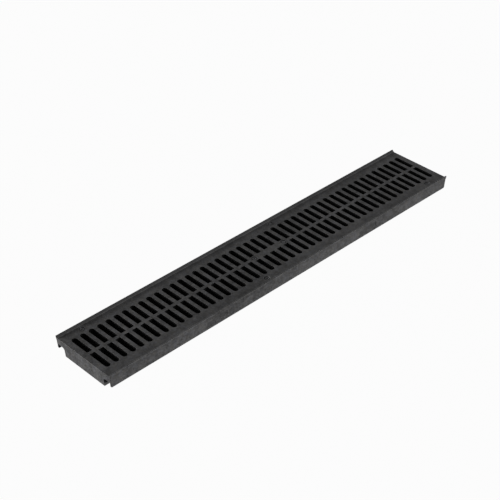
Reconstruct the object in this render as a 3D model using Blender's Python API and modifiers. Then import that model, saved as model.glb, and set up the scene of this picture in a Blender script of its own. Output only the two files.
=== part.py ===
"""Channel drain grate for a one metre run, with the six screws that hold it down.

The grate is one moulded piece. A slotted plate carries a raised lip along each long edge.
Below the plate a deep ribbed core drops into the channel, a skirt hangs down each long side,
and the channel's rim sits in the seat between the core and the skirt.

X runs along the grate, Y across it and Z up. The core's foot rests on Z = 0, and the origin
is below the middle of the plate. A half turn about Z leaves the grate unchanged.
"""

import math

import bmesh
import bpy
from mathutils import Matrix, Vector

# Sizes of the grate, in metres
LENGTH = 0.9985
WIDTH = 0.1622
CORE_DEPTH = 0.037
PLATE_THICKNESS = 0.0052
LIP_HEIGHT = 0.0039
LIP_WIDTH = 0.0060
LIP_CREST_RADIUS = 0.0008
LIP_OVERHANG = 0.0008
LIP_EDGE_HEIGHT = 0.0030
FLARE_HEIGHT = 0.0050
SKIRT_DEPTH = 0.0272
SKIRT_WALL = 0.0034
SKIRT_EDGE_RADIUS = 0.0010
SKIRT_CORNER_RADIUS = 0.0030
SEAT_WIDTH = 0.0181
END_WALL = 0.0050
END_LEAN = math.radians(5.5)

# Slots, ribs and webs
PITCH = 0.0208
SLOT_WIDTH = 0.0123
SLOT_CORNER_RADIUS = 0.0012
SLOT_LEDGE = 0.0006
CENTRE_LAND = 0.0071
CORE_WALL = 0.0034
CORE_EDGE_RADIUS = 0.0010
CROSS_RIB = 0.0050
WEB_THICKNESS = 0.0036
WEB_DEPTH = 0.0158
WEB_FILLET = 0.0065
DRAFT = math.radians(1.0)

# The wider land in the middle, where two of the screws are
PAD_REACH = 2
PAD_LAND = 0.0162
PAD_WALL = 0.0035
PAD_SCREW_OFFSET = 0.0020

# Shallow stepped recesses in the skirts
RECESS_PLACE = 0.2257
RECESS_DEPTH = 0.0010
RECESS_REACH = 0.0270
RECESS_OVERLAP = 0.0020
RECESS_HIGH_TOP = 0.0058
RECESS_LOW_TOP = 0.0095
RECESS_HIGH_FOOT = 0.0162
RECESS_LOW_FOOT = 0.0228

# Screws, and the bosses that they go through
SCREW_DIAMETER = 0.0050
SCREW_LENGTH = 0.0250
SCREW_HEAD_DIAMETER = 0.0090
SCREW_HEAD_RIM = 0.0004
SCREW_TIP = 0.0020
DRIVE_SPAN = 0.0052
DRIVE_WIDTH = 0.0013
DRIVE_DEPTH = 0.0022
COUNTERSINK_DIAMETER = 0.0126
BOSS_DIAMETER = 0.0130
BOSS_SET_BACK = 0.0005
SCREW_SET_OUT = 0.0075
SCREW_RIBS_FROM_END = 1.5
SCREW_RIBS_FROM_MIDDLE = 3.5

CLEARANCE = 0.0003
OVERCUT = 0.0020
WELD = 0.00001

SLOT_END_STEPS = 6
SLOT_CORNER_STEPS = 1
SMALL_ARC_STEPS = 2
FILLET_STEPS = 4
HOLE_STEPS = 20
SCREW_STEPS = 18

GRATE_COLOUR = (0.036, 0.036, 0.038, 1.0)
SCREW_COLOUR = (0.075, 0.075, 0.080, 1.0)

# Heights and half widths that follow from the sizes
PLATE_TOP = CORE_DEPTH
PLATE_UNDERSIDE = PLATE_TOP - PLATE_THICKNESS
LIP_TOP = PLATE_TOP + LIP_HEIGHT
WEB_FOOT = PLATE_TOP - WEB_DEPTH
SKIRT_FOOT = PLATE_TOP - SKIRT_DEPTH
LIP_FACE = WIDTH / 2
SKIRT_FACE = LIP_FACE - LIP_OVERHANG
SKIRT_INSIDE = SKIRT_FACE - SKIRT_WALL
CORE_FACE = SKIRT_INSIDE - SEAT_WIDTH
CORE_INSIDE = CORE_FACE - CORE_WALL
SLOT_OUTER_END = CORE_INSIDE - SLOT_LEDGE
SCREW_LINE = CORE_FACE + SCREW_SET_OUT
HEAD_SINK = (COUNTERSINK_DIAMETER - SCREW_HEAD_DIAMETER) / 2 - CLEARANCE * math.sqrt(2)
SCREW_TOP = PLATE_TOP - HEAD_SINK + SCREW_HEAD_RIM


def end_x(height):
    """Distance from the middle to the leaning end face, at a height."""
    return LENGTH / 2 - (LIP_TOP - height) * math.tan(END_LEAN)


LAST_SLOT = math.floor((end_x(PLATE_UNDERSIDE) - END_WALL - SLOT_WIDTH / 2) / PITCH)


def clear_scene():
    for item in list(bpy.data.objects):
        bpy.data.objects.remove(item, do_unlink=True)


def new_collection(name):
    collection = bpy.data.collections.new(name)
    bpy.context.scene.collection.children.link(collection)
    return collection


def new_material(name, colour, roughness, metallic):
    material = bpy.data.materials.new(name)
    material.use_nodes = True
    shader = material.node_tree.nodes["Principled BSDF"]
    shader.inputs["Base Color"].default_value = colour
    shader.inputs["Roughness"].default_value = roughness
    shader.inputs["Metallic"].default_value = metallic
    return material


def add_object(name, mesh, collection):
    item = bpy.data.objects.new(name, mesh)
    collection.objects.link(item)
    return item


def baked_mesh(item):
    """Mesh of an object as its modifiers leave it, welded. The object is removed."""
    graph = bpy.context.evaluated_depsgraph_get()
    mesh = bpy.data.meshes.new_from_object(item.evaluated_get(graph))
    name = item.name
    bpy.data.objects.remove(item, do_unlink=True)
    mesh.name = name
    shape = bmesh.new()
    shape.from_mesh(mesh)
    bmesh.ops.remove_doubles(shape, verts=shape.verts, dist=WELD)
    bmesh.ops.recalc_face_normals(shape, faces=shape.faces)
    shape.to_mesh(mesh)
    shape.free()
    return mesh


def arc(centre, radius, start, end, steps):
    """Points along an arc, with the angles in degrees."""
    angles = [math.radians(start + (end - start) * step / steps) for step in range(steps + 1)]
    return [(centre[0] + radius * math.cos(a), centre[1] + radius * math.sin(a)) for a in angles]


def outlines_mesh(name, outlines, low, high):
    """Flat closed outlines in X and Y, made solid from one height to the other."""
    curve = bpy.data.curves.new(name, "CURVE")
    curve.dimensions = "2D"
    curve.fill_mode = "BOTH"
    curve.extrude = (high - low) / 2
    for outline in outlines:
        spline = curve.splines.new("POLY")
        spline.points.add(len(outline) - 1)
        for point, place in zip(spline.points, outline):
            point.co = (place[0], place[1], 0.0, 1.0)
        spline.use_cyclic_u = True
    item = add_object(name, curve, bpy.context.scene.collection)
    mesh = baked_mesh(item)
    mesh.transform(Matrix.Translation((0.0, 0.0, (high + low) / 2)))
    return mesh


def turned_mesh(name, profile, steps):
    """Solid turned about Z from a profile that runs from the axis at the top to the axis at the foot."""
    mesh = bpy.data.meshes.new(name)
    edges = [(step, step + 1) for step in range(len(profile) - 1)]
    mesh.from_pydata([(radius, 0.0, height) for radius, height in profile], edges, [])
    item = add_object(name, mesh, bpy.context.scene.collection)
    turn = item.modifiers.new("turn", "SCREW")
    turn.steps = steps
    turn.render_steps = steps
    turn.use_merge_vertices = True
    turn.merge_threshold = WELD
    return baked_mesh(item)


def add_tapered_box(shape, foot, top):
    """Box between two rectangles, each given as (x0, x1, y0, y1, z)."""
    corners = bmesh.ops.create_cube(shape, size=2.0)["verts"]
    for corner in corners:
        x0, x1, y0, y1, height = top if corner.co.z > 0 else foot
        x = x1 if corner.co.x > 0 else x0
        y = y1 if corner.co.y > 0 else y0
        corner.co = Vector((x, y, height))


def mesh_of(name, shape):
    mesh = bpy.data.meshes.new(name)
    shape.to_mesh(mesh)
    shape.free()
    return mesh


def add_cutter(name, mesh, collection):
    cutter = add_object(name, mesh, collection)
    cutter.hide_render = True
    cutter.display_type = "WIRE"
    return cutter


def apply_cutter(item, cutter, operation="DIFFERENCE"):
    boolean = item.modifiers.new(cutter.name, "BOOLEAN")
    boolean.operation = operation
    boolean.solver = "EXACT"
    boolean.object = cutter


def half_section():
    """Half of the grate's cross-section as (y, z), from the plate's top round to the core's foot."""
    crest = (LIP_FACE - LIP_CREST_RADIUS, LIP_TOP - LIP_CREST_RADIUS)
    edge = (SKIRT_FACE - SKIRT_EDGE_RADIUS, SKIRT_FOOT + SKIRT_EDGE_RADIUS)
    fillet = (CORE_FACE + WEB_FILLET, WEB_FOOT - WEB_FILLET)
    corner = (CORE_FACE - CORE_EDGE_RADIUS, CORE_EDGE_RADIUS)
    points = [(LIP_FACE - LIP_WIDTH, PLATE_TOP)]
    points += arc(crest, LIP_CREST_RADIUS, 120, 0, FILLET_STEPS)
    points += [(LIP_FACE, LIP_TOP - LIP_EDGE_HEIGHT)]
    points += [(SKIRT_FACE, LIP_TOP - LIP_EDGE_HEIGHT - FLARE_HEIGHT)]
    points += arc(edge, SKIRT_EDGE_RADIUS, 0, -90, SMALL_ARC_STEPS)
    points += [(SKIRT_INSIDE, SKIRT_FOOT), (SKIRT_INSIDE, WEB_FOOT)]
    points += arc(fillet, WEB_FILLET, 90, 180, FILLET_STEPS)
    points += arc(corner, CORE_EDGE_RADIUS, 0, -90, SMALL_ARC_STEPS)
    return points


def body_mesh():
    """The cross-section run along X, before anything is cut from it."""
    right = half_section()
    left = [(-y, z) for y, z in reversed(right)]
    mesh = outlines_mesh("grate_body", [right + left], -LENGTH / 2, LENGTH / 2)
    along_x = Matrix(((0, 0, 1, 0), (1, 0, 0, 0), (0, 1, 0, 0), (0, 0, 0, 1)))
    mesh.transform(along_x)
    return mesh


def end_trims():
    """Wedges that lean the end faces in."""
    shape = bmesh.new()
    far = LENGTH / 2 + OVERCUT
    wide = WIDTH / 2 + OVERCUT
    low, high = -OVERCUT, LIP_TOP + OVERCUT
    for end in (-1, 1):
        foot = sorted((end * end_x(low), end * far))
        top = sorted((end * end_x(high), end * (far + OVERCUT)))
        add_tapered_box(shape, (*foot, -wide, wide, low), (*top, -wide, wide, high))
    return mesh_of("end_trims", shape)


def skirt_corner_trims():
    """Rounds the lower corners at the ends of the skirts, as outlines in X and Z run along Y."""
    radius = SKIRT_CORNER_RADIUS
    end = end_x(SKIRT_FOOT + radius)
    beyond = LENGTH / 2 + OVERCUT
    below = SKIRT_FOOT - OVERCUT
    right = arc((end - radius, SKIRT_FOOT + radius), radius, 0, -90, FILLET_STEPS)
    right += [(end - radius, below), (beyond, below), (beyond, SKIRT_FOOT + radius)]
    left = [(-x, z) for x, z in reversed(right)]
    shape = bmesh.new()
    lie_down = Matrix(((1, 0, 0, 0), (0, 0, -1, 0), (0, 1, 0, 0), (0, 0, 0, 1)))
    for side in (-1, 1):
        across = sorted((-side * SKIRT_INSIDE, -side * (WIDTH / 2 + OVERCUT)))
        mesh = outlines_mesh("corner", [right, left], *across)
        mesh.transform(lie_down)
        shape.from_mesh(mesh)
        bpy.data.meshes.remove(mesh)
    return mesh_of("skirt_corner_trims", shape)


def cell_span(index, height, wall):
    """Where a cell starts and stops along X: between two ribs, or out to the leaning end wall."""
    half = (PITCH - wall) / 2
    start, stop = index * PITCH - half, index * PITCH + half
    if index == LAST_SLOT:
        stop = end_x(height) - END_WALL
    if index == -LAST_SLOT:
        start = END_WALL - end_x(height)
    return start, stop


def land_half(index):
    """Half of the land between the two rows of slots, which is wider at the middle."""
    return (PAD_LAND if abs(index) <= PAD_REACH else CENTRE_LAND) / 2


def core_cells():
    """Drafted cells that leave the core's walls, centre rib and cross ribs."""
    shape = bmesh.new()
    low, high = -OVERCUT, PLATE_UNDERSIDE
    opening = (high - low) * math.tan(DRAFT)
    for side in (-1, 1):
        for index in range(-LAST_SLOT, LAST_SLOT + 1):
            inner = land_half(index) - SLOT_LEDGE
            outer = CORE_INSIDE
            foot_y = sorted((side * (inner - opening), side * (outer + opening)))
            top_y = sorted((side * inner, side * outer))
            foot_x = cell_span(index, low, CROSS_RIB - 2 * opening)
            top_x = cell_span(index, high, CROSS_RIB)
            add_tapered_box(shape, (*foot_x, *foot_y, low), (*top_x, *top_y, high))
    return mesh_of("core_cells", shape)


def seat_cells():
    """Cells above the seat, which leave the webs between the core and the skirts."""
    shape = bmesh.new()
    low, high = WEB_FOOT - WEB_FILLET - OVERCUT, PLATE_UNDERSIDE
    for side in (-1, 1):
        across = sorted((side * CORE_FACE, side * SKIRT_INSIDE))
        for index in range(-LAST_SLOT, LAST_SLOT + 1):
            foot_x = cell_span(index, low, WEB_THICKNESS)
            top_x = cell_span(index, high, WEB_THICKNESS)
            add_tapered_box(shape, (*foot_x, *across, low), (*top_x, *across, high))
    return mesh_of("seat_cells", shape)


def pad_cells():
    """Hollow between the two middle screws, under the wide land."""
    shape = bmesh.new()
    low, high = -OVERCUT, PLATE_UNDERSIDE
    reach = pad_screw_x() - BOSS_DIAMETER / 2
    half = PAD_LAND / 2 - SLOT_LEDGE - PAD_WALL
    box = (-reach, reach, -half, half)
    add_tapered_box(shape, (*box, low), (*box, high))
    return mesh_of("pad_cells", shape)


def slot_outline(index, side):
    """One slot, round at its outer end and nearly square at its inner end."""
    half = SLOT_WIDTH / 2
    radius = SLOT_CORNER_RADIUS
    x = index * PITCH
    inner = land_half(index)
    points = arc((x, SLOT_OUTER_END - half), half, 0, 180, SLOT_END_STEPS)
    points += arc((x - half + radius, inner + radius), radius, 180, 270, SLOT_CORNER_STEPS)
    points += arc((x + half - radius, inner + radius), radius, 270, 360, SLOT_CORNER_STEPS)
    return [(px, side * py) for px, py in points]


def slots_mesh():
    outlines = []
    for side in (-1, 1):
        for index in range(-LAST_SLOT, LAST_SLOT + 1):
            outlines.append(slot_outline(index, side))
    return outlines_mesh("slots", outlines, PLATE_UNDERSIDE - OVERCUT, PLATE_TOP + OVERCUT)


def pad_screw_x():
    return PAD_REACH * PITCH + PAD_SCREW_OFFSET


def edge_screw_places():
    """Two screws through each seat, on the line of a cross rib, placed by a half turn."""
    outer = (LAST_SLOT - SCREW_RIBS_FROM_END) * PITCH
    inner = SCREW_RIBS_FROM_MIDDLE * PITCH
    far_side = [(-outer, SCREW_LINE), (inner, SCREW_LINE)]
    return far_side + [(-x, -y) for x, y in far_side]


def middle_screw_places():
    return [(-pad_screw_x(), 0.0), (pad_screw_x(), 0.0)]


def placed_copies(name, mesh, places):
    """One mesh with a copy of the given one at each place."""
    shape = bmesh.new()
    for x, y in places:
        copy = mesh.copy()
        copy.transform(Matrix.Translation((x, y, 0.0)))
        shape.from_mesh(copy)
        bpy.data.meshes.remove(copy)
    bpy.data.meshes.remove(mesh)
    return mesh_of(name, shape)


def bosses_mesh():
    """Round bosses on the webs, one for each screw through a seat, just short of the webs' feet."""
    radius = BOSS_DIAMETER / 2
    top = PLATE_TOP - PLATE_THICKNESS / 2
    foot = WEB_FOOT + BOSS_SET_BACK
    profile = [(0.0, top), (radius, top), (radius, foot), (0.0, foot)]
    boss = turned_mesh("boss", profile, HOLE_STEPS)
    return placed_copies("bosses", boss, edge_screw_places())


def screw_holes_mesh():
    """Countersunk holes, cut right through."""
    mouth = COUNTERSINK_DIAMETER / 2
    bore = SCREW_DIAMETER / 2 + CLEARANCE
    above = PLATE_TOP + OVERCUT
    profile = [(0.0, above), (mouth + OVERCUT, above), (bore, PLATE_TOP - mouth + bore)]
    profile += [(bore, -OVERCUT), (0.0, -OVERCUT)]
    hole = turned_mesh("hole", profile, HOLE_STEPS)
    return placed_copies("screw_holes", hole, edge_screw_places() + middle_screw_places())


def recess_outline(centre):
    """Stepped recess as (x, z): a high part on one side and a low part on the other."""
    left, right = centre - RECESS_REACH, centre + RECESS_REACH
    low_end, high_start = centre - 2 * RECESS_OVERLAP, centre - 3 * RECESS_OVERLAP
    high_top, high_foot = PLATE_TOP - RECESS_HIGH_TOP, PLATE_TOP - RECESS_HIGH_FOOT
    low_top, low_foot = PLATE_TOP - RECESS_LOW_TOP, PLATE_TOP - RECESS_LOW_FOOT
    points = [(left, low_top), (high_start, low_top), (high_start, high_top), (right, high_top)]
    points += [(right, high_foot), (low_end, high_foot), (low_end, low_foot), (left, low_foot)]
    return points


def recesses_mesh():
    """The near skirt's recesses, and the far skirt's by a half turn."""
    outlines = [recess_outline(-RECESS_PLACE), recess_outline(RECESS_PLACE)]
    near = outlines_mesh("recess", outlines, SKIRT_FACE - RECESS_DEPTH, WIDTH / 2)
    near.transform(Matrix(((1, 0, 0, 0), (0, 0, -1, 0), (0, 1, 0, 0), (0, 0, 0, 1))))
    shape = bmesh.new()
    shape.from_mesh(near)
    near.transform(Matrix.Rotation(math.pi, 4, "Z"))
    shape.from_mesh(near)
    bpy.data.meshes.remove(near)
    return mesh_of("recesses", shape)


def make_grate(parts, cutters, material):
    body = add_object("grate_body", body_mesh(), parts)
    body.data.materials.append(material)
    apply_cutter(body, add_cutter("end_trims", end_trims(), cutters))
    apply_cutter(body, add_cutter("skirt_corner_trims", skirt_corner_trims(), cutters))
    apply_cutter(body, add_cutter("recesses", recesses_mesh(), cutters))
    apply_cutter(body, add_cutter("core_cells", core_cells(), cutters))
    apply_cutter(body, add_cutter("pad_cells", pad_cells(), cutters))
    apply_cutter(body, add_cutter("seat_cells", seat_cells(), cutters))
    apply_cutter(body, add_cutter("bosses", bosses_mesh(), cutters), "UNION")
    apply_cutter(body, add_cutter("slots", slots_mesh(), cutters))
    apply_cutter(body, add_cutter("screw_holes", screw_holes_mesh(), cutters))


def drive_mesh(turned):
    """One bar of the cross recess, narrower at its foot."""
    long, short = DRIVE_SPAN / 2, DRIVE_WIDTH / 2
    shape = bmesh.new()
    top = (-long, long, -short, short, SCREW_TOP + OVERCUT)
    foot = (-long / 2, long / 2, -short / 2, short / 2, SCREW_TOP - DRIVE_DEPTH)
    add_tapered_box(shape, foot, top)
    if turned:
        bmesh.ops.rotate(shape, verts=shape.verts, matrix=Matrix.Rotation(math.pi / 2, 3, "Z"))
    return mesh_of("drive", shape)


def screw_mesh():
    """Countersunk screw with a cross recess, standing where it would in a hole at the origin."""
    head, shank = SCREW_HEAD_DIAMETER / 2, SCREW_DIAMETER / 2
    rim = SCREW_TOP - SCREW_HEAD_RIM
    foot = SCREW_TOP - SCREW_LENGTH
    profile = [(0.0, SCREW_TOP), (head, SCREW_TOP), (head, rim), (shank, rim - head + shank)]
    profile += [(shank, foot + SCREW_TIP), (shank / 2, foot), (0.0, foot)]
    blank = add_object("screw", turned_mesh("blank", profile, SCREW_STEPS), bpy.context.scene.collection)
    bars = [add_object("bar", drive_mesh(turned), bpy.context.scene.collection) for turned in (False, True)]
    for bar in bars:
        apply_cutter(blank, bar)
    mesh = baked_mesh(blank)
    for bar in bars:
        bpy.data.objects.remove(bar, do_unlink=True)
    return mesh


def make_screws(parts, material):
    mesh = screw_mesh()
    mesh.materials.append(material)
    mesh.shade_smooth()
    mesh.set_sharp_from_angle(angle=math.radians(30))
    for kind, places in (("edge", edge_screw_places()), ("middle", middle_screw_places())):
        for number, (x, y) in enumerate(places, start=1):
            screw = add_object(f"{kind}_screw_{number}", mesh, parts)
            screw.location = (x, y, 0.0)


def main():
    clear_scene()
    parts = new_collection("channel_drain_grate")
    cutters = new_collection("cutters")
    make_grate(parts, cutters, new_material("grate_plastic", GRATE_COLOUR, 0.55, 0.0))
    make_screws(parts, new_material("screw_steel", SCREW_COLOUR, 0.4, 0.8))


main()
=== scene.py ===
"""Looks of the channel drain grate: one finely rounded moulding and six threaded screws.

Everything is in metres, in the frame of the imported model. X runs along the grate, Y across it
and Z up, and a half turn about Z leaves the grate unchanged.
"""

import math

import bmesh
import bpy
from mathutils import Matrix, Vector


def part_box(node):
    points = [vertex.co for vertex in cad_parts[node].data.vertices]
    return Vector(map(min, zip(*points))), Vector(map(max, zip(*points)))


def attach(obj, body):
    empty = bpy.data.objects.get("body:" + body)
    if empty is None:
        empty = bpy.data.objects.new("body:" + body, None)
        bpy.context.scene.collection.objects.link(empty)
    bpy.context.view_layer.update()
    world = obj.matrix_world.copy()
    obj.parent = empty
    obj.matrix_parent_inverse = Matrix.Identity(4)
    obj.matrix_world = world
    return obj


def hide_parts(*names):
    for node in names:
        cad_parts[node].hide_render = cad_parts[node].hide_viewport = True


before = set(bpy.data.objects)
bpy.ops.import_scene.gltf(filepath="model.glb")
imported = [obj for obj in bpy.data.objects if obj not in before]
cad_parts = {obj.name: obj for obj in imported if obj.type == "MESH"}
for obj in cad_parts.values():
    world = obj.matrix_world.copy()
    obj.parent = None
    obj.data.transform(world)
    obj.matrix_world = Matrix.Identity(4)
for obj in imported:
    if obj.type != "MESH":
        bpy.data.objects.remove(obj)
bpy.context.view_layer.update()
BODY_LOW, BODY_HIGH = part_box("grate_body")
SCREW_NODES = sorted(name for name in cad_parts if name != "grate_body")

# Overall sizes, from the frame
LENGTH = BODY_HIGH.x - BODY_LOW.x
WIDTH = BODY_HIGH.y - BODY_LOW.y
LIP_TOP = BODY_HIGH.z

# Plate, lips and skirts
LIP_HEIGHT = 0.0039
LIP_WIDTH = 0.0060
LIP_CREST = 0.0014
LIP_CREST_RADIUS = 0.0004
LIP_FOOT_RADIUS = 0.0010
LIP_OVERHANG = 0.0008
LIP_EDGE_HEIGHT = 0.0030
FLARE_HEIGHT = 0.0050
FLARE_RUN_ON = 0.0020
PLATE_THICKNESS = 0.0052
SKIRT_DEPTH = 0.0272
SKIRT_WALL = 0.0034
SKIRT_EDGE_RADIUS = 0.0010
SKIRT_CORNER_RADIUS = 0.0030
SKIRT_SUNK = 0.0025
SEAT_WIDTH = 0.0181
END_LEAN = math.radians(5.5)
END_WALL = 0.0050
END_EDGE_RADIUS = 0.0003
EDGE_RADIUS = 0.0007

# Slots, core, ribs and webs
PITCH = 0.0208
SLOT_WIDTH = 0.0123
SLOT_CORNER_RADIUS = 0.0012
SLOT_EDGE_RADIUS = 0.0003
SLOT_LEDGE = 0.0006
CENTRE_LAND = 0.0071
CORE_WALL = 0.0034
CORE_EDGE_RADIUS = 0.0010
CROSS_RIB = 0.0050
CELL_CORNER_RADIUS = 0.0015
WEB_THICKNESS = 0.0036
WEB_DEPTH = 0.0158
WEB_FILLET = 0.0065
DRAFT = math.radians(1.0)
PAD_REACH = 2
PAD_LAND = 0.0162
PAD_WALL = 0.0035

# Stepped recesses in the skirts
RECESS_PLACE = 0.2257
RECESS_DEPTH = 0.0010
RECESS_REACH = 0.0270
RECESS_HIGH_START = 0.0060
RECESS_LOW_STOP = 0.0040
RECESS_HIGH_TOP = 0.0058
RECESS_LOW_TOP = 0.0095
RECESS_HIGH_FOOT = 0.0162
RECESS_LOW_FOOT = 0.0228
RECESS_CORNER_RADIUS = 0.0015
RECESS_EDGE_RADIUS = 0.0004

# Screws and their holes
COUNTERSINK_DIAMETER = 0.0126
BORE_DIAMETER = 0.0056
BOSS_DIAMETER = 0.0130
BOSS_SET_BACK = 0.0005
SCREW_DIAMETER = 0.0050
SCREW_HEAD_DIAMETER = 0.0090
SCREW_HEAD_RIM = 0.0004
SCREW_RIM_RADIUS = 0.00015
THREAD_PITCH = 0.0018
THREAD_DEPTH = 0.0006
THREAD_RUN_OUT = 0.0030
SCREW_TIP = 0.0040
SCREW_TIP_SHARE = 0.15
DRIVE_SPAN = 0.0052
DRIVE_WIDTH = 0.0013
DRIVE_DEPTH = 0.0022
DRIVE_FOOT_SHARE = 0.4

# Allowances for cuts and joins
OVERCUT = 0.0020
MOUTH_RUN_ON = 1.3
SEAM = 0.0003
WELD = 0.00001

# Angle above which an edge stays hard, and product of two normals above which faces share a flat
SHARP_ANGLE = math.radians(32)
FLAT_DOT = 0.99999

# Steps of the curves
EDGE_STEPS = 3
ARC_STEPS = 8
HOLE_STEPS = 40
SCREW_STEPS = 32
THREAD_STEPS = 8

# Camera, in the frame of the grate
CAMERA_PLACE = Vector((-1.54378, -1.47069, 1.56249))
CAMERA_TARGET = Vector((-0.02907, 0.02745, 0.03700))
CAMERA_LENS = 89.68
CAMERA_SENSOR = 36.0
CAMERA_ROLL = math.radians(0.94)

# Lights and floor
WORLD_COLOUR = (0.245, 0.245, 0.245, 1)
LIGHT_DISTANCE = 9.0
LIGHT_WIDTH = 4.5
LIGHT_HEIGHT = 1.5
LIGHT_RISE = math.radians(9)
KEY_TURN = math.radians(135)
KEY_POWER = 1700.0
FILL_TURN = math.radians(-72)
FILL_POWER = 900.0
FLOOR_HALF = 40.0
FLOOR_GLOW = 0.97
FLOOR_COLOUR = (0.08, 0.08, 0.08, 1)
FLOOR_ROUGHNESS = 0.9

# Mottle of the plastic: its grains as (size, limits of the noise), from fine to the slow drift
GRAINS = [(0.0014, (0.30, 0.70)), (0.0045, (0.32, 0.68)), (0.016, (0.35, 0.65)), (0.14, (0.35, 0.65))]
DRIFT_SHARE = 0.7
MOTTLE_RANGE = (0.8, 2.9)
TINT_SIZE = 0.009
TINT_LIMITS = (0.35, 0.65)
GRAIN_DETAIL = 2
TINT_DETAIL = 1
DARK_WARM = (0.0175, 0.0167, 0.0162, 1)
DARK_COOL = (0.0162, 0.0162, 0.0175, 1)
LIGHT_WARM = (0.0700, 0.0675, 0.0650, 1)
LIGHT_COOL = (0.0650, 0.0655, 0.0700, 1)

# Places of the plastic with painted shade: its colours, and how far they take it on
SLOPE_PAINTED_SHADE_COLOUR = (0.009, 0.009, 0.009, 1)
SLOPE_PAINTED_SHADE_SHARE = (1.0, 0.8)
# Painted shade on the lips' crests, darker in patches
CREST_PAINTED_SHADE_COLOUR = (0.028, 0.027, 0.028, 1)
CREST_DRIFT = (0.3, 0.9)
CREST_PAINTED_SHADE_SHARE = (0, 0.6)
# Painted shade on the floors of the recesses in the skirts
RECESS_PAINTED_SHADE_COLOUR = (0.016, 0.016, 0.016, 1)
RECESS_PAINTED_SHADE_SHARE = 0.6
# Painted shade in the slots and countersinks, darkest just below the plate's top
HOLLOW_PAINTED_SHADE_BAND = 0.0040
HOLLOW_LOWER_PAINTED_SHADE = (0.014, 0.014, 0.014, 1)
HOLLOW_UPPER_PAINTED_SHADE = (0.0022, 0.0022, 0.0022, 1)

# How much wider the mask of the painted shade in a countersink is where it ends than where it starts to
# fade
COUNTERSINK_FADE = 1.05

# Roughness of the plastic, and what is taken off it on the slots' walls and at their edges
PLASTIC_ROUGHNESS = (0.50, 0.64)
SLOT_SMOOTHER = 0.42
EDGE_SMOOTHER = -0.30

# Heights of the grains' bumps
BROAD_RELIEF = 0.00015
MIDDLE_RELIEF = 0.00008
FINE_RELIEF = 0.00003

# Steel of the screws
STEEL_METALLIC = 0.9
STEEL_CLOUD_SIZE = 0.0015
STEEL_CLOUD_LIMITS = (0.3, 0.7)
STEEL_CLOUD_DETAIL = 3
STEEL_GRAIN_SIZE = 0.0004
STEEL_GRAIN_DETAIL = 2
STEEL_RELIEF = 0.00002
STEEL_DARK = (0.12, 0.12, 0.125, 1)
STEEL_LIGHT = (0.20, 0.20, 0.205, 1)
STEEL_ROUGHNESS = (0.42, 0.58)

# Heights and half widths that follow from the sizes
PLATE_TOP = LIP_TOP - LIP_HEIGHT
PLATE_UNDERSIDE = PLATE_TOP - PLATE_THICKNESS
WEB_FOOT = PLATE_TOP - WEB_DEPTH
SKIRT_FOOT = PLATE_TOP - SKIRT_DEPTH
LIP_FACE = WIDTH / 2
SKIRT_FACE = LIP_FACE - LIP_OVERHANG
SKIRT_INSIDE = SKIRT_FACE - SKIRT_WALL
CORE_FACE = SKIRT_INSIDE - SEAT_WIDTH
CORE_INSIDE = CORE_FACE - CORE_WALL
SLOT_OUTER_END = CORE_INSIDE - SLOT_LEDGE

# Heights over which the masks of the slots and countersinks fade, at their mouths and just below
MOUTH_BAND = (PLATE_TOP - SLOT_EDGE_RADIUS / 3, PLATE_TOP - SLOT_EDGE_RADIUS / 9)
BELOW_MOUTH_BAND = (PLATE_TOP - 1.5 * SLOT_EDGE_RADIUS, PLATE_TOP - SLOT_EDGE_RADIUS)


def end_x(height):
    """Distance from the middle to the leaning end face, at a height."""
    return LENGTH / 2 - (LIP_TOP - height) * math.tan(END_LEAN)


LAST_SLOT = math.floor((end_x(PLATE_UNDERSIDE) - END_WALL - SLOT_WIDTH / 2) / PITCH)
SLOT_NUMBERS = range(-LAST_SLOT, LAST_SLOT + 1)


def turn_outwards(shape):
    """Faces that agree with each other, and outwards by the sign of the volume they enclose."""
    bmesh.ops.recalc_face_normals(shape, faces=shape.faces)
    if shape.calc_volume(signed=True) < 0:
        bmesh.ops.reverse_faces(shape, faces=shape.faces)


def mesh_of(name, shape):
    """Mesh from a shape, which is used up."""
    turn_outwards(shape)
    mesh = bpy.data.meshes.new(name)
    shape.to_mesh(mesh)
    shape.free()
    return mesh


def add_object(name, data):
    item = bpy.data.objects.new(name, data)
    bpy.context.scene.collection.objects.link(item)
    return item


def rounded(corners):
    """Closed outline through corners given as (a, b, radius), with an arc at each that has a radius."""
    points = []
    for index, (a, b, radius) in enumerate(corners):
        corner = Vector((a, b))
        if radius == 0:
            points.append(corner)
            continue
        before = (Vector(corners[index - 1][:2]) - corner).normalized()
        after = (Vector(corners[(index + 1) % len(corners)][:2]) - corner).normalized()
        half = before.angle(after) / 2
        centre = corner + (before + after).normalized() * radius / math.sin(half)
        start = corner + before * radius / math.tan(half) - centre
        end = corner + after * radius / math.tan(half) - centre
        first = math.atan2(start.y, start.x)
        sweep = math.atan2(start.cross(end), start.dot(end))
        steps = ARC_STEPS if radius > 2 * CELL_CORNER_RADIUS else EDGE_STEPS
        for step in range(steps + 1):
            angle = first + sweep * step / steps
            point = centre + radius * Vector((math.cos(angle), math.sin(angle)))
            if not points or (point - points[-1]).length > WELD:
                points.append(point)
    return points


def inset(outline, distance):
    """The outline moved towards its inside by a distance, with as many points as before."""
    count = len(outline)
    area = sum(outline[index - 1].cross(outline[index]) for index in range(count))
    inward = math.copysign(1, area) * distance
    moved = []
    for index, point in enumerate(outline):
        before = (point - outline[index - 1]).normalized()
        after = (outline[(index + 1) % count] - point).normalized()
        across = Vector((-before.y - after.y, before.x + after.x))
        moved.append(point + across * inward / (1 + before.dot(after)))
    return moved


def edge_round(radius):
    """Steps over a rounded edge as (inset of the outline, distance from the face), side first."""
    if radius == 0:
        return [(0.0, 0.0)]
    angles = [math.pi / 2 * step / EDGE_STEPS for step in range(EDGE_STEPS + 1)]
    return [(radius * (1 - math.cos(angle)), radius * (1 - math.sin(angle))) for angle in angles]


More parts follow.
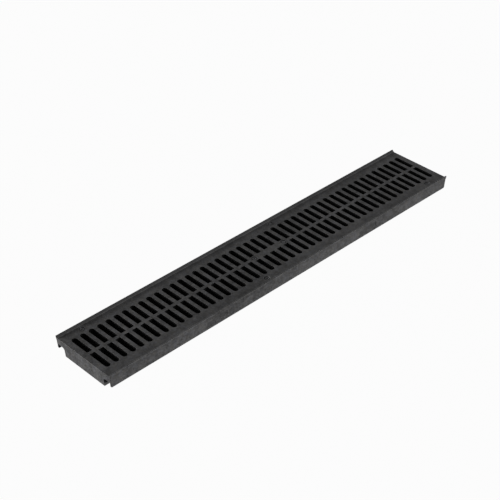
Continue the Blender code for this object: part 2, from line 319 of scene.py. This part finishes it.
def add_loft(shape, rings):
    """Closed body through rings with as many points each, with a flat face over the first and the last."""
    loops = [[shape.verts.new(point) for point in ring] for ring in rings]
    for low, high in zip(loops, loops[1:]):
        for index in range(len(low)):
            shape.faces.new((low[index - 1], low[index], high[index], high[index - 1]))
    shape.faces.new(loops[0])
    shape.faces.new(loops[-1])


def mouth_levels(radius):
    """Steps into a rounded mouth as (offset, depth). The first two run on, to cross the face."""
    if radius == 0:
        return [(0.0, -OVERCUT)]
    steps = edge_round(radius)[-2::-1]
    offset, depth = steps[0]
    wide, high = offset + (radius - offset) * MOUTH_RUN_ON, depth * (1 - MOUTH_RUN_ON)
    return [(wide, -OVERCUT), (wide, high)] + steps


def add_well(shape, outline_at, mouth, floor, mouth_radius, floor_radius):
    """Cutter for a hollow along Z, with the edge at its mouth and the corner at its floor rounded."""
    way = math.copysign(1, floor - mouth)
    levels = [(mouth + way * depth, -offset) for offset, depth in mouth_levels(mouth_radius)]
    levels += [(floor - way * depth, offset) for offset, depth in edge_round(floor_radius)]
    rings = []
    for height, offset in levels:
        rings.append([(a, b, height) for a, b in inset(outline_at(height), offset)])
    add_loft(shape, rings)


def add_turned(shape, profile, centre, steps):
    """Body turned about a vertical line, from a profile of (radius, height).

    It starts half a step round, so that none of its corners falls on an edge of another body.
    """
    angles = [2 * math.pi * (step + 0.5) / steps for step in range(steps)]
    rings = []
    for radius, height in profile:
        rings.append([
            (centre.x + radius * math.cos(angle), centre.y + radius * math.sin(angle), height)
            for angle in angles
        ])
    add_loft(shape, rings)


def section():
    """The grate's cross-section without its skirts, as (y, z)."""
    flare_end = LIP_TOP - LIP_EDGE_HEIGHT - FLARE_HEIGHT - FLARE_RUN_ON
    flare_inset = LIP_OVERHANG * (1 + FLARE_RUN_ON / FLARE_HEIGHT)
    web_end = SKIRT_INSIDE + SEAM
    half = [
        (LIP_FACE - LIP_WIDTH, PLATE_TOP, LIP_FOOT_RADIUS),
        (LIP_FACE - LIP_CREST, LIP_TOP, LIP_CREST_RADIUS),
        (LIP_FACE, LIP_TOP, LIP_CREST_RADIUS),
        (LIP_FACE, LIP_TOP - LIP_EDGE_HEIGHT, EDGE_RADIUS),
        (LIP_FACE - flare_inset, flare_end, 0),
        (web_end, flare_end, 0),
        (web_end, WEB_FOOT, EDGE_RADIUS),
        (CORE_FACE, WEB_FOOT, WEB_FILLET),
        (CORE_FACE, 0.0, CORE_EDGE_RADIUS),
    ]
    return rounded(half + [(-y, z, radius) for y, z, radius in reversed(half)])


def body_mesh():
    """The cross-section run along X, with leaning end faces and rounded edges round them."""
    outline = section()
    rounds = edge_round(END_EDGE_RADIUS)
    rib_lines = [(index + 0.5) * PITCH for index in range(-LAST_SLOT - 1, LAST_SLOT + 1)]
    rings = []
    for offset, depth in reversed(rounds):
        rings.append([(depth - end_x(z), y, z) for y, z in inset(outline, offset)])
    for x in rib_lines[1:-1]:
        rings.append([(x, y, z) for y, z in outline])
    for offset, depth in rounds:
        rings.append([(end_x(z) - depth, y, z) for y, z in inset(outline, offset)])
    shape = bmesh.new()
    add_loft(shape, rings)
    return mesh_of("grate_moulding", shape)


def skirt_outline():
    """A skirt seen from the side, as (x, z), with round lower corners.

    Its ends are set back by a hair, so that they don't lie in the leaning end faces.
    """
    top = PLATE_UNDERSIDE + SKIRT_SUNK
    high_end = end_x(top) - WELD
    low_end = end_x(SKIRT_FOOT) - WELD
    corners = [(-high_end, top, 0), (high_end, top, 0), (low_end, SKIRT_FOOT, SKIRT_CORNER_RADIUS)]
    return rounded(corners + [(-low_end, SKIRT_FOOT, SKIRT_CORNER_RADIUS)])


def skirts_mesh():
    """Both skirts, rounded along their edges."""
    outline = skirt_outline()
    rounds = edge_round(SKIRT_EDGE_RADIUS)
    shape = bmesh.new()
    for side in (-1, 1):
        rings = []
        for offset, depth in reversed(rounds):
            rings.append([(x, side * (SKIRT_INSIDE + depth), z) for x, z in inset(outline, offset)])
        for offset, depth in rounds:
            rings.append([(x, side * (SKIRT_FACE - depth), z) for x, z in inset(outline, offset)])
        add_loft(shape, rings)
    return mesh_of("skirts", shape)


def cell_span(index, height, wall):
    """Where a cell starts and stops along X: between two ribs, or out to the leaning end wall."""
    half = (PITCH - wall) / 2
    start, stop = index * PITCH - half, index * PITCH + half
    if index == LAST_SLOT:
        stop = end_x(height) - END_WALL
    if index == -LAST_SLOT:
        start = END_WALL - end_x(height)
    return start, stop


def land_half(index):
    """Half of the land between the two rows of slots, which is wider at the middle."""
    return (PAD_LAND if abs(index) <= PAD_REACH else CENTRE_LAND) / 2


def box_outline(x_span, y_span, radius):
    """Rectangle with round corners."""
    (x0, x1), (y0, y1) = x_span, sorted(y_span)
    return rounded([(x0, y0, radius), (x1, y0, radius), (x1, y1, radius), (x0, y1, radius)])


def core_cell_outline(index, side, height):
    """A cell of the core at a height, wider towards its mouth by the draft."""
    span = cell_span(index, height, CROSS_RIB)
    across = (side * (land_half(index) - SLOT_LEDGE), side * CORE_INSIDE)
    opening = (PLATE_UNDERSIDE - height) * math.tan(DRAFT)
    return inset(box_outline(span, across, CELL_CORNER_RADIUS), -opening)


def core_cells_mesh():
    shape = bmesh.new()
    for side in (-1, 1):
        for index in SLOT_NUMBERS:
            add_well(
                shape, lambda height: core_cell_outline(index, side, height),
                0.0, PLATE_UNDERSIDE, EDGE_RADIUS, EDGE_RADIUS,
            )
    return mesh_of("core_cells", shape)


def pad_cell_mesh():
    """Hollow between the two middle screws, under the wide land."""
    reach = pad_screw_x() - BOSS_DIAMETER / 2
    half = PAD_LAND / 2 - SLOT_LEDGE - PAD_WALL
    outline = box_outline((-reach, reach), (-half, half), CELL_CORNER_RADIUS)
    shape = bmesh.new()
    add_well(shape, lambda height: outline, 0.0, PLATE_UNDERSIDE, EDGE_RADIUS, EDGE_RADIUS)
    return mesh_of("pad_cell", shape)


def seat_cell_outline(index, side, height):
    """A cell above the seat at a height, from just off the core to within the skirt's wall."""
    across = (side * (CORE_FACE + SEAM), side * (SKIRT_INSIDE + SKIRT_WALL / 2))
    return box_outline(cell_span(index, height, WEB_THICKNESS), across, CELL_CORNER_RADIUS)


def seat_cells_mesh():
    """Cells above the seat, which leave the webs between the core and the skirts."""
    shape = bmesh.new()
    for side in (-1, 1):
        for index in SLOT_NUMBERS:
            add_well(
                shape, lambda height: seat_cell_outline(index, side, height),
                WEB_FOOT - WEB_FILLET, PLATE_UNDERSIDE, 0.0, EDGE_RADIUS,
            )
    return mesh_of("seat_cells", shape)


def slot_outline(index, side):
    """One slot, round at its outer end and nearly square at its inner end."""
    half = SLOT_WIDTH / 2
    left, right = index * PITCH - half, index * PITCH + half
    inner, outer = side * land_half(index), side * SLOT_OUTER_END
    return rounded([
        (left, inner, SLOT_CORNER_RADIUS), (right, inner, SLOT_CORNER_RADIUS),
        (right, outer, half), (left, outer, half),
    ])


def slots_mesh():
    shape = bmesh.new()
    for side in (-1, 1):
        for index in SLOT_NUMBERS:
            outline = slot_outline(index, side)
            add_well(
                shape, lambda height: outline,
                PLATE_TOP, PLATE_UNDERSIDE - EDGE_RADIUS, SLOT_EDGE_RADIUS, 0.0,
            )
    return mesh_of("slots", shape)


def screw_places():
    """Middle of each screw, in X and Y."""
    places = []
    for node in SCREW_NODES:
        low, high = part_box(node)
        places.append((low + high) / 2)
    return places


def pad_screw_x():
    return max(place.x for place in screw_places() if abs(place.y) < PAD_LAND / 2)


def bosses_mesh():
    """Round bosses on the webs, one for each screw through a seat."""
    radius = BOSS_DIAMETER / 2
    foot = WEB_FOOT + BOSS_SET_BACK
    profile = [(radius, PLATE_TOP - PLATE_THICKNESS / 2)]
    profile += [(radius - offset, foot + depth) for offset, depth in edge_round(EDGE_RADIUS)]
    shape = bmesh.new()
    for place in screw_places():
        if abs(place.y) > PAD_LAND / 2:
            add_turned(shape, profile, place, HOLE_STEPS)
    return mesh_of("bosses", shape)


def screw_holes_mesh():
    """Countersunk holes with a softened mouth, cut right through."""
    mouth, bore = COUNTERSINK_DIAMETER / 2, BORE_DIAMETER / 2
    profile = [(mouth + SLOT_EDGE_RADIUS, PLATE_TOP + OVERCUT)]
    profile += [(mouth + SLOT_EDGE_RADIUS, PLATE_TOP), (mouth, PLATE_TOP - SLOT_EDGE_RADIUS / 2)]
    profile += [(bore, PLATE_TOP - SLOT_EDGE_RADIUS / 2 - mouth + bore), (bore, -OVERCUT)]
    shape = bmesh.new()
    for place in screw_places():
        add_turned(shape, profile, place, HOLE_STEPS)
    return mesh_of("screw_holes", shape)


def recess_spans(centre):
    """The two parts of a stepped recess as (span in X, span in Z)."""
    high = (centre - RECESS_HIGH_START, centre + RECESS_REACH)
    low = (centre - RECESS_REACH, centre - RECESS_LOW_STOP)
    return [
        (high, (PLATE_TOP - RECESS_HIGH_FOOT, PLATE_TOP - RECESS_HIGH_TOP)),
        (low, (PLATE_TOP - RECESS_LOW_FOOT, PLATE_TOP - RECESS_LOW_TOP)),
    ]


def recesses_mesh(part):
    """One part of every recess: the near skirt's, and the far skirt's by a half turn."""
    shape = bmesh.new()
    for centre in (-RECESS_PLACE, RECESS_PLACE):
        outline = box_outline(*recess_spans(centre)[part], RECESS_CORNER_RADIUS)
        add_well(
            shape, lambda height: outline,
            SKIRT_FACE, SKIRT_FACE - RECESS_DEPTH, RECESS_EDGE_RADIUS, RECESS_EDGE_RADIUS,
        )
    bmesh.ops.rotate(shape, verts=shape.verts, matrix=Matrix.Rotation(math.pi / 2, 3, "X"))
    near = shape.verts[:] + shape.edges[:] + shape.faces[:]
    copied = bmesh.ops.duplicate(shape, geom=near)["geom"]
    far = [item for item in copied if isinstance(item, bmesh.types.BMVert)]
    bmesh.ops.rotate(shape, verts=far, matrix=Matrix.Rotation(math.pi, 3, "Z"))
    return mesh_of("recesses", shape)


def combined_mesh(mesh, steps, material):
    """Mesh of one material after each (operation, cutter mesh) has been applied to it, in order."""
    item = add_object(mesh.name, mesh)
    cutters = []
    for operation, cutter_mesh in steps:
        cutter = add_object("cutter", cutter_mesh)
        boolean = item.modifiers.new(operation, "BOOLEAN")
        boolean.operation = operation
        boolean.solver = "MANIFOLD"
        boolean.object = cutter
        cutters.append(cutter)
    graph = bpy.context.evaluated_depsgraph_get()
    result = bpy.data.meshes.new_from_object(item.evaluated_get(graph))
    for used in [item] + cutters:
        bpy.data.objects.remove(used, do_unlink=True)
    shape = bmesh.new()
    shape.from_mesh(result)
    turn_outwards(shape)
    shape.to_mesh(result)
    shape.free()
    result.materials.clear()
    result.materials.append(material)
    result.polygons.foreach_set("material_index", [0] * len(result.polygons))
    return result


def flat_areas(mesh, normals):
    """For each face, the area of the whole flat that it is part of."""
    faces_at = {}
    for face in mesh.polygons:
        for key in face.edge_keys:
            faces_at.setdefault(key, []).append(face.index)
    level = [[] for _ in normals]
    for pair in faces_at.values():
        if len(pair) == 2 and normals[pair[0]].dot(normals[pair[1]]) > FLAT_DOT:
            level[pair[0]].append(pair[1])
            level[pair[1]].append(pair[0])
    areas = [0.0] * len(normals)
    for start in range(len(normals)):
        if areas[start]:
            continue
        flat, waiting = {start}, [start]
        while waiting:
            for other in level[waiting.pop()]:
                if other not in flat:
                    flat.add(other)
                    waiting.append(other)
        total = sum(mesh.polygons[face].area for face in flat)
        for face in flat:
            areas[face] = max(total, WELD ** 2)
    return areas


def smooth_shading(mesh):
    """Smooth normals that keep the flats flat, so that only the rounded edges seem to bend."""
    mesh.shade_smooth()
    normals = [face.normal.copy() for face in mesh.polygons]
    areas = flat_areas(mesh, normals)
    corners_at = [[] for _ in mesh.vertices]
    for face in mesh.polygons:
        for corner in face.loop_indices:
            corners_at[mesh.loops[corner].vertex_index].append((corner, face.index))
    sharp = math.cos(SHARP_ANGLE)
    bent = [None] * len(mesh.loops)
    for corners in corners_at:
        for corner, face in corners:
            total = Vector()
            for _, other in corners:
                if normals[face].dot(normals[other]) > sharp:
                    total += normals[other] * areas[other]
            bent[corner] = total.normalized() if total.length else normals[face]
    mesh.normals_split_custom_set(bent)


def make_moulding(material):
    """The moulding. The seat cells are cut before the skirts close them, and the slots after them."""
    mesh = combined_mesh(body_mesh(), [
        ("DIFFERENCE", seat_cells_mesh()),
        ("UNION", skirts_mesh()),
        ("DIFFERENCE", core_cells_mesh()),
        ("DIFFERENCE", pad_cell_mesh()),
        ("UNION", bosses_mesh()),
        ("DIFFERENCE", slots_mesh()),
        ("DIFFERENCE", screw_holes_mesh()),
        ("DIFFERENCE", recesses_mesh(0)),
        ("DIFFERENCE", recesses_mesh(1)),
    ], material)
    moulding = add_object("grate_moulding", mesh)
    smooth_shading(mesh)
    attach(moulding, "root")
    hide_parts("grate_body")


def thread_radius(angle, height, top, foot, radius):
    """Radius of the threaded shank at an angle and a height."""
    turn = (height / THREAD_PITCH - angle / (2 * math.pi)) % 1.0
    ridge = max(0.0, 1 - abs(2 * turn - 1) * 2)
    start = min(1.0, max(0.0, (top - height) / THREAD_RUN_OUT))
    point = min(1.0, (height - foot) / SCREW_TIP)
    core = (radius - THREAD_DEPTH) * (SCREW_TIP_SHARE + (1 - SCREW_TIP_SHARE) * point)
    return core + THREAD_DEPTH * ridge * start * min(1.0, 2 * point)


def screw_blank(top, foot, radius):
    """Countersunk head and threaded shank, from the top down, about the origin."""
    head = SCREW_HEAD_DIAMETER / 2
    neck = top - SCREW_HEAD_RIM - head + radius - THREAD_DEPTH
    profile = [(head - offset, top - depth) for offset, depth in reversed(edge_round(SCREW_RIM_RADIUS))]
    profile += [(head, top - SCREW_HEAD_RIM), (radius - THREAD_DEPTH, neck)]
    angles = [2 * math.pi * step / SCREW_STEPS for step in range(SCREW_STEPS)]
    rings = [[(r * math.cos(a), r * math.sin(a), z) for a in angles] for r, z in profile]
    count = round((neck - foot) / THREAD_PITCH * THREAD_STEPS)
    for step in range(1, count + 1):
        z = neck + (foot - neck) * step / count
        radii = [thread_radius(a, z, neck, foot, radius) for a in angles]
        rings.append([(r * math.cos(a), r * math.sin(a), z) for r, a in zip(radii, angles)])
    shape = bmesh.new()
    add_loft(shape, rings)
    return mesh_of("screw", shape)


def drive_mesh(top):
    """Cross recess that narrows to its foot."""
    long, short = DRIVE_SPAN / 2, DRIVE_WIDTH / 2
    quarter = [(long, -short), (long, short), (short, short)]
    corners = []
    for turn in range(4):
        for x, y in quarter:
            corners.append(Matrix.Rotation(turn * math.pi / 2, 2) @ Vector((x, y)))
    rings = []
    for height, share in ((top + OVERCUT, 1), (top, 1), (top - DRIVE_DEPTH, DRIVE_FOOT_SHARE)):
        rings.append([(share * x, share * y, height) for x, y in corners])
    shape = bmesh.new()
    add_loft(shape, rings)
    return mesh_of("drive", shape)


def make_screws(material):
    """Six screws that share one mesh."""
    low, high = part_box(SCREW_NODES[0])
    blank = screw_blank(high.z, low.z, SCREW_DIAMETER / 2)
    mesh = combined_mesh(blank, [("DIFFERENCE", drive_mesh(high.z))], material)
    smooth_shading(mesh)
    for node, place in zip(SCREW_NODES, screw_places()):
        screw = add_object(f"{node}_threaded", mesh)
        screw.location = (place.x, place.y, 0.0)
        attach(screw, "root")
        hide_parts(node)


def new_material(name):
    """Material with its node tree and its shader."""
    material = bpy.data.materials.new(name)
    material.use_nodes = True
    return material, material.node_tree, material.node_tree.nodes["Principled BSDF"]


def object_place(tree):
    """Place in metres, in the frame of the object."""
    return tree.nodes.new("ShaderNodeTexCoord").outputs["Object"]


def link_looks(tree, shader, colour, roughness, normal):
    """The three looks that vary over the surface, linked to their sockets."""
    tree.links.new(colour, shader.inputs["Base Color"])
    tree.links.new(roughness, shader.inputs["Roughness"])
    tree.links.new(normal, shader.inputs["Normal"])


def noise(tree, place, size, detail):
    """Noise with features of about a size in metres."""
    node = tree.nodes.new("ShaderNodeTexNoise")
    node.inputs["Scale"].default_value = 1 / size
    node.inputs["Detail"].default_value = detail
    tree.links.new(place, node.inputs["Vector"])
    return node.outputs["Fac"]


def spread(tree, value, source, target):
    """A value taken from one range to another and kept inside it."""
    node = tree.nodes.new("ShaderNodeMapRange")
    for socket, number in zip(("From Min", "From Max", "To Min", "To Max"), (*source, *target)):
        node.inputs[socket].default_value = number
    tree.links.new(value, node.inputs["Value"])
    return node.outputs["Result"]


def blend_colours(tree, share, first, second):
    """Mix of two colours, each a colour or the output of a node."""
    node = tree.nodes.new("ShaderNodeMix")
    node.data_type = "RGBA"
    tree.links.new(share, node.inputs["Factor"])
    for name, colour in (("A", first), ("B", second)):
        socket = next(s for s in node.inputs if s.name == name and s.type == "RGBA")
        if isinstance(colour, tuple):
            socket.default_value = colour
        else:
            tree.links.new(colour, socket)
    return next(s for s in node.outputs if s.type == "RGBA")


def combined(tree, operation, first, second):
    """Result of arithmetic on two values, each a number or the output of a node."""
    node = tree.nodes.new("ShaderNodeMath")
    node.operation = operation
    for socket, value in zip(node.inputs, (first, second)):
        if isinstance(value, float):
            socket.default_value = value
        else:
            tree.links.new(value, socket)
    return node.outputs["Value"]


def add_bump(tree, height, distance, normal=None):
    """Normal bent by a height, on top of a normal that is bent already."""
    node = tree.nodes.new("ShaderNodeBump")
    node.inputs["Distance"].default_value = distance
    tree.links.new(height, node.inputs["Height"])
    if normal:
        tree.links.new(normal, node.inputs["Normal"])
    return node.outputs["Normal"]


def product(tree, *shares):
    """Product of several shares."""
    result = shares[0]
    for share in shares[1:]:
        result = combined(tree, "MULTIPLY", result, share)
    return result


def slot_mask(tree, x, y, z):
    """Share from 0 to 1 of the inner walls of the slots, their edges and the cells below them, which get
    painted shade, their own roughness and no bumps.
    """
    below = spread(tree, z, MOUTH_BAND, (1, 0))
    within = spread(tree, y, (CORE_INSIDE + CORE_WALL / 3, CORE_INSIDE + CORE_WALL / 2), (1, 0))
    inner_end = end_x(0.0) - END_WALL / 5
    short = spread(tree, x, (inner_end - END_WALL / 5, inner_end), (1, 0))
    return product(tree, below, within, short)


def recess_mask(tree, x, y, z):
    """Share from 0 to 1 of the floors of the recesses in the skirts, where shade is painted."""
    sunk = spread(tree, y, (SKIRT_FACE - RECESS_DEPTH, SKIRT_FACE - RECESS_DEPTH / 2), (1, 0))
    thick = spread(tree, y, (SKIRT_INSIDE, SKIRT_INSIDE + SKIRT_WALL / 2), (0, 1))
    away = combined(tree, "ABSOLUTE", combined(tree, "SUBTRACT", x, RECESS_PLACE), 0.0)
    near = spread(tree, away, (RECESS_REACH, RECESS_REACH + RECESS_DEPTH), (1, 0))
    high = spread(tree, z, (SKIRT_FOOT + SKIRT_EDGE_RADIUS, SKIRT_FOOT + 2 * SKIRT_EDGE_RADIUS), (0, 1))
    return product(tree, sunk, thick, near, high)


def countersink_mask(tree, x, y, z):
    """Share from 0 to 1 of the countersinks and the bores below them, but for their mouths, where shade is
    painted.
    """
    reach = COUNTERSINK_DIAMETER / 2 + SLOT_EDGE_RADIUS
    discs = 0.0
    for screw_x, screw_y in sorted({(round(abs(p.x), 4), round(abs(p.y), 4)) for p in screw_places()}):
        dx = combined(tree, "SUBTRACT", x, screw_x)
        dy = combined(tree, "SUBTRACT", y, screw_y)
        square = combined(tree, "ADD", product(tree, dx, dx), product(tree, dy, dy))
        disc = spread(tree, square, (reach ** 2, (COUNTERSINK_FADE * reach) ** 2), (1, 0))
        discs = combined(tree, "MAXIMUM", discs, disc)
    below = spread(tree, z, BELOW_MOUTH_BAND, (1, 0))
    above = spread(tree, z, (PLATE_UNDERSIDE, PLATE_UNDERSIDE + PLATE_THICKNESS / 5), (0, 1))
    return product(tree, discs, below, above)


def lip_masks(tree, y, z):
    """Shares from 0 to 1 of the lips' inner slopes and of their crests, where shade is painted."""
    raised = spread(tree, z, (PLATE_TOP + LIP_HEIGHT / 12, PLATE_TOP + LIP_HEIGHT / 4), (0, 1))
    inner = spread(tree, y, (LIP_FACE - LIP_CREST, LIP_FACE - LIP_CREST / 2), (1, 0))
    crest = spread(tree, z, (LIP_TOP - LIP_CREST_RADIUS, LIP_TOP), (0, 1))
    return product(tree, raised, inner), crest


def moulded_colour(tree, place, grains):
    """Mottled near black: grains of several sizes, warmer in some places and cooler in others."""
    fine, middle, broad, drift = grains
    grain = combined(tree, "ADD", combined(tree, "ADD", fine, middle), broad)
    level = combined(tree, "ADD", combined(tree, "MULTIPLY", drift, DRIFT_SHARE), grain)
    mottle = spread(tree, level, MOTTLE_RANGE, (0, 1))
    tint = spread(tree, noise(tree, place, TINT_SIZE, TINT_DETAIL), TINT_LIMITS, (0, 1))
    dark = blend_colours(tree, tint, DARK_WARM, DARK_COOL)
    light = blend_colours(tree, tint, LIGHT_WARM, LIGHT_COOL)
    return blend_colours(tree, mottle, dark, light)


def mirrored_place(tree, place):
    """X and Y without their signs, and Z, since all four quarters of the grate are coloured alike."""
    split = tree.nodes.new("ShaderNodeSeparateXYZ")
    tree.links.new(place, split.inputs["Vector"])
    x = combined(tree, "ABSOLUTE", split.outputs["X"], 0.0)
    y = combined(tree, "ABSOLUTE", split.outputs["Y"], 0.0)
    return x, y, split.outputs["Z"]


def outer_colour(tree, colour, drift, x, y, z):
    """The colour with painted shade on the lips' inner slopes, on their crests and in the recesses."""
    slope, crest = lip_masks(tree, y, z)
    slope_painted_shade = product(tree, slope, spread(tree, drift, (0, 1), SLOPE_PAINTED_SHADE_SHARE))
    crest_painted_shade = product(tree, crest, spread(tree, drift, CREST_DRIFT, CREST_PAINTED_SHADE_SHARE))
    recess_painted_shade = combined(tree, "MULTIPLY", recess_mask(tree, x, y, z), RECESS_PAINTED_SHADE_SHARE)
    colour = blend_colours(tree, slope_painted_shade, colour, SLOPE_PAINTED_SHADE_COLOUR)
    colour = blend_colours(tree, crest_painted_shade, colour, CREST_PAINTED_SHADE_COLOUR)
    return blend_colours(tree, recess_painted_shade, colour, RECESS_PAINTED_SHADE_COLOUR)


def hollow_painted_shade(tree, z):
    """Painted shade inside the slots and countersinks, deepest black just below the plate's top."""
    rim = spread(tree, z, (PLATE_TOP - HOLLOW_PAINTED_SHADE_BAND, PLATE_TOP - HOLLOW_PAINTED_SHADE_BAND / 2), (0, 1))
    return blend_colours(tree, rim, HOLLOW_LOWER_PAINTED_SHADE, HOLLOW_UPPER_PAINTED_SHADE)


def plastic_material():
    """Matt black moulded plastic, mottled, with painted shade: near black in the slots and countersinks,
    darker on the lips and in the recesses.
    """
    material, tree, shader = new_material("grate_plastic")
    place = object_place(tree)
    x, y, z = mirrored_place(tree, place)
    in_slot = slot_mask(tree, x, y, z)
    hollow = combined(tree, "MAXIMUM", in_slot, countersink_mask(tree, x, y, z))
    grains = []
    for size, limits in GRAINS:
        grains.append(spread(tree, noise(tree, place, size, GRAIN_DETAIL), limits, (0, 1)))
    fine, middle, broad, drift = grains

    # Painted shade on the lips' inner slopes and crests and in the recesses
    colour = outer_colour(tree, moulded_colour(tree, place, grains), drift, x, y, z)
    # Painted shade: near black inside the slots and countersinks
    colour = blend_colours(tree, hollow, colour, hollow_painted_shade(tree, z))
    rough = spread(tree, middle, (0, 1), PLASTIC_ROUGHNESS)
    smoother = spread(tree, z, BELOW_MOUTH_BAND, (SLOT_SMOOTHER, EDGE_SMOOTHER))
    roughness = combined(tree, "SUBTRACT", rough, product(tree, in_slot, smoother))
    outside = combined(tree, "SUBTRACT", 1.0, in_slot)
    normal = None
    for grain, height in ((broad, BROAD_RELIEF), (middle, MIDDLE_RELIEF), (fine, FINE_RELIEF)):
        normal = add_bump(tree, product(tree, grain, outside), height, normal)
    link_looks(tree, shader, colour, roughness, normal)
    return material


def steel_material():
    """Black oxide on steel, slightly uneven."""
    material, tree, shader = new_material("screw_steel")
    place = object_place(tree)
    shader.inputs["Metallic"].default_value = STEEL_METALLIC
    cloudy = noise(tree, place, STEEL_CLOUD_SIZE, STEEL_CLOUD_DETAIL)
    cloud = spread(tree, cloudy, STEEL_CLOUD_LIMITS, (0, 1))
    colour = blend_colours(tree, cloud, STEEL_DARK, STEEL_LIGHT)
    roughness = spread(tree, cloud, (0, 1), STEEL_ROUGHNESS)
    grain = noise(tree, place, STEEL_GRAIN_SIZE, STEEL_GRAIN_DETAIL)
    link_looks(tree, shader, colour, roughness, add_bump(tree, grain, STEEL_RELIEF))
    return material


def floor_material():
    """Bright white where the camera sees it, but dark to the light that falls on it."""
    material, tree, shader = new_material("floor_white")
    shader.inputs["Base Color"].default_value = FLOOR_COLOUR
    shader.inputs["Roughness"].default_value = FLOOR_ROUGHNESS
    glow = tree.nodes.new("ShaderNodeEmission")
    seen = tree.nodes.new("ShaderNodeLightPath").outputs["Is Camera Ray"]
    mix = tree.nodes.new("ShaderNodeMixShader")
    tree.links.new(combined(tree, "MULTIPLY", seen, FLOOR_GLOW), mix.inputs["Fac"])
    tree.links.new(shader.outputs["BSDF"], mix.inputs[1])
    tree.links.new(glow.outputs["Emission"], mix.inputs[2])
    tree.links.new(mix.outputs["Shader"], tree.nodes["Material Output"].inputs["Surface"])
    return material


def make_floor():
    shape = bmesh.new()
    bmesh.ops.create_grid(shape, size=FLOOR_HALF)
    floor = add_object("floor", mesh_of("floor", shape))
    floor.data.materials.append(floor_material())


def add_light(name, turn, power):
    """Long low soft light, aimed at the middle of the grate from one side."""
    light = add_object(name, bpy.data.lights.new(name, "AREA"))
    light.data.shape = "RECTANGLE"
    light.data.size = LIGHT_WIDTH
    light.data.size_y = LIGHT_HEIGHT
    light.data.energy = power
    light.visible_camera = False
    flat = math.cos(LIGHT_RISE)
    direction = Vector((flat * math.cos(turn), flat * math.sin(turn), math.sin(LIGHT_RISE)))
    light.location = direction * LIGHT_DISTANCE
    light.rotation_euler = direction.to_track_quat("Z", "Y").to_euler()


def make_lights():
    """Even grey light all round, a key light beyond the far left corner and a fill light in front."""
    world = bpy.data.worlds.new("studio")
    world.use_nodes = True
    world.node_tree.nodes["Background"].inputs["Color"].default_value = WORLD_COLOUR
    bpy.context.scene.world = world
    add_light("key_light", KEY_TURN, KEY_POWER)
    add_light("fill_light", FILL_TURN, FILL_POWER)


def make_camera():
    camera = add_object("camera", bpy.data.cameras.new("camera"))
    camera.data.lens = CAMERA_LENS
    camera.data.sensor_width = CAMERA_SENSOR
    camera.location = CAMERA_PLACE
    level = (CAMERA_TARGET - CAMERA_PLACE).to_track_quat("-Z", "Y").to_matrix()
    camera.rotation_euler = (level @ Matrix.Rotation(CAMERA_ROLL, 3, "Z")).to_euler()
    bpy.context.scene.camera = camera


make_camera()
make_lights()
make_floor()
make_moulding(plastic_material())
make_screws(steel_material())
bpy.context.scene.view_settings.view_transform = "Standard"
